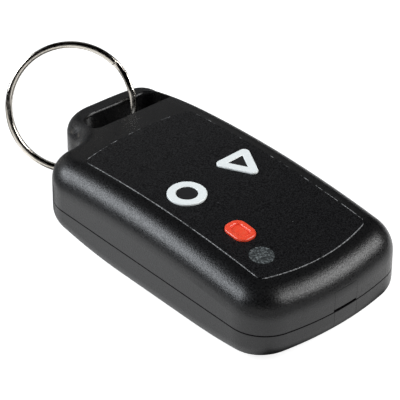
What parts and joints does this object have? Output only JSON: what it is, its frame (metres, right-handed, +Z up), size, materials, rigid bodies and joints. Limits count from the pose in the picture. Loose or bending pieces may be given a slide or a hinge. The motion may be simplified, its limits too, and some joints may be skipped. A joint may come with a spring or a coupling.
{
  "type": "remote key fob",
  "caption": "Black remote key fob with a crowned case, a corner loop with a nickel split ring, a round key, a triangle key, a red key and a lamp window.",
  "frame": {"origin": "middle of the flat underside, on the plane it rests on", "axes": "+Y along the case towards the key-ring loop, +X across the case to the side with the loop, +Z up out of the key face"},
  "size_m": [0.035, 0.0821, 0.0227],
  "materials": {
    "shell_plastic": "matt",
    "film_print": "satin",
    "window_resin": "satin",
    "key_plastic": "satin",
    "symbol_plastic": "satin",
    "red_plastic": "gloss",
    "tinned_metal": "satin",
    "board_laminate": "satin",
    "screw_steel": "satin",
    "chip_resin": "matt",
    "resonator_metal": "satin",
    "resistor_ceramic": "satin",
    "capacitor_ceramic": "satin",
    "trace_copper": "satin",
    "lamp_resin": "gloss",
    "cell_steel": "satin",
    "seal_nylon": "matt",
    "contact_metal": "satin",
    "plunger_plastic": "satin",
    "switch_resin": "matt",
    "switch_metal": "satin",
    "ring_nickel": "mirror"
  },
  "bodies": {
    "case": {"antenna_trace": "trace_copper", "battery_clip": "contact_metal", "battery_contact": "contact_metal", "board_screws": "screw_steel", "chip_capacitors": "capacitor_ceramic", "chip_resistors": "resistor_ceramic", "circle_switch_base": "switch_resin", "circle_switch_cover": "switch_metal", "circle_switch_dome": "switch_metal", "circuit_board": "board_laminate", "coin_cell_can": "cell_steel", "coin_cell_cap": "cell_steel", "coin_cell_seal": "seal_nylon", "encoder_chip": "chip_resin", "encoder_leads": "tinned_metal", "label_film": "film_print", "lamp_leads": "tinned_metal", "led_window": "window_resin", "lower_shell": "shell_plastic", "red_switch_base": "switch_resin", "red_switch_cover": "switch_metal", "red_switch_dome": "switch_metal", "rf_transistor": "chip_resin", "saw_resonator": "resonator_metal", "status_lamp": "lamp_resin", "switch_legs": "tinned_metal", "triangle_switch_base": "switch_resin", "triangle_switch_cover": "switch_metal", "triangle_switch_dome": "switch_metal", "upper_shell": "shell_plastic"},
    "circle_button": {"circle_key": "key_plastic", "circle_symbol": "symbol_plastic", "circle_plunger": "plunger_plastic"},
    "triangle_button": {"triangle_key": "key_plastic", "triangle_symbol": "symbol_plastic", "triangle_plunger": "plunger_plastic"},
    "red_button": {"red_key": "red_plastic", "red_plunger": "plunger_plastic"},
    "ring": {"split_ring": "ring_nickel"}
  },
  "joints": [
    {"name": "circle_press", "type": "slide", "parent": "case", "child": "circle_button", "axis": [0, 0, -1], "range_m": [0, 0.0003], "stiffness_N_per_m": 3000},
    {"name": "triangle_press", "type": "slide", "parent": "case", "child": "triangle_button", "axis": [0, 0, -1], "range_m": [0, 0.0003], "stiffness_N_per_m": 3000},
    {"name": "red_press", "type": "slide", "parent": "case", "child": "red_button", "axis": [0, 0, -1], "range_m": [0, 0.0003], "stiffness_N_per_m": 3000},
    {"name": "ring_swing", "type": "hinge", "parent": "case", "child": "ring", "pos_m": [0.0005, 0.0365, 0.0095], "axis": [1, 0, 0], "range_deg": [0, 20]}
  ]
}
